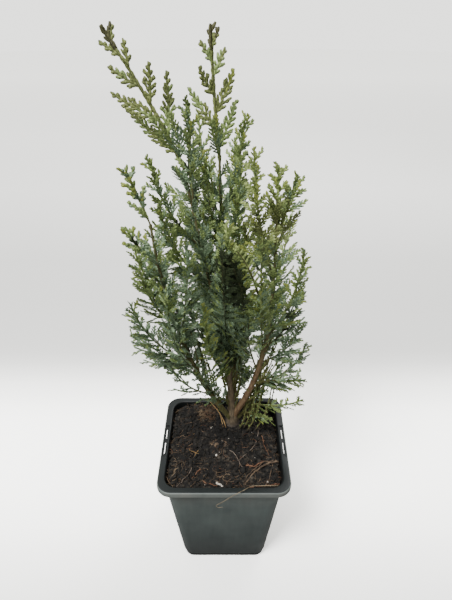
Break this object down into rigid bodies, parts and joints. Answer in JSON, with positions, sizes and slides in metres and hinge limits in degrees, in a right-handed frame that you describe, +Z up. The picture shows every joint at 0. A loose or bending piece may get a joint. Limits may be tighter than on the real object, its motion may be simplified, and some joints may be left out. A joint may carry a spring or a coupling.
{
  "type": "potted conifer",
  "caption": "Young lawson cypress with flattened sprays of scale leaves on upright stems, in a square tapered dark plastic nursery pot full of compost.",
  "frame": {"origin": "middle of the pot's flat underside", "axes": "+Z up the pot's axis, -Y towards the viewer in front of the plant, +X to the viewer's right"},
  "size_m": [0.1183, 0.1224, 0.3596],
  "materials": {
    "pot": "satin",
    "soil": "matte",
    "bark": "matte",
    "green": "matte",
    "leader": "matte",
    "blue": "matte",
    "pale": "matte"
  },
  "bodies": {
    "root": {"pot": "pot", "soil": "soil", "trunk": "bark", "right_bough": "bark", "left_bough": "bark", "left_leader": "bark", "back_bough": "bark", "low_shoot": "bark", "left_leader_top": "leader", "right_leader_top": "leader", "right_top_fan": "green", "left_bough_top": "leader", "middle_spray": "green", "leader_right_spray": "green", "leader_left_upper": "green", "leader_left_lower": "blue", "pale_top_spray": "pale", "pale_frond": "pale", "pale_side_spray": "pale", "front_right_spray": "green", "right_middle_fan": "blue", "right_outer_fan": "green", "right_outer_low": "blue", "right_low_twig": "blue", "left_fan_upper": "leader", "left_fan_middle": "green", "left_fan_lower": "blue", "left_low_spray": "blue", "left_low_under": "blue", "left_basal_spray": "blue", "front_left_spray": "blue", "front_centre_spray": "blue", "front_low_tuft": "leader", "front_low_left": "blue", "upper_centre_spray": "blue", "leader_left_fill": "blue", "middle_back_spray": "green", "right_back_spray": "green", "inner_right_spray": "blue", "centre_back_spray": "blue", "low_right_fan": "green", "low_right_upright": "green", "low_right_front": "green", "low_front_tuft": "green", "low_shoot_spray": "green", "trunk_low_left": "blue", "back_top": "green", "back_left_upper": "blue", "back_right_upper": "green", "back_left_lower": "blue", "back_right_lower": "blue", "trunk_back_upper": "green", "trunk_back_middle": "blue", "leader_back_spray": "green", "left_back_spray": "blue", "right_back_low": "blue", "back_low_spray": "blue"}
  },
  "joints": []
}
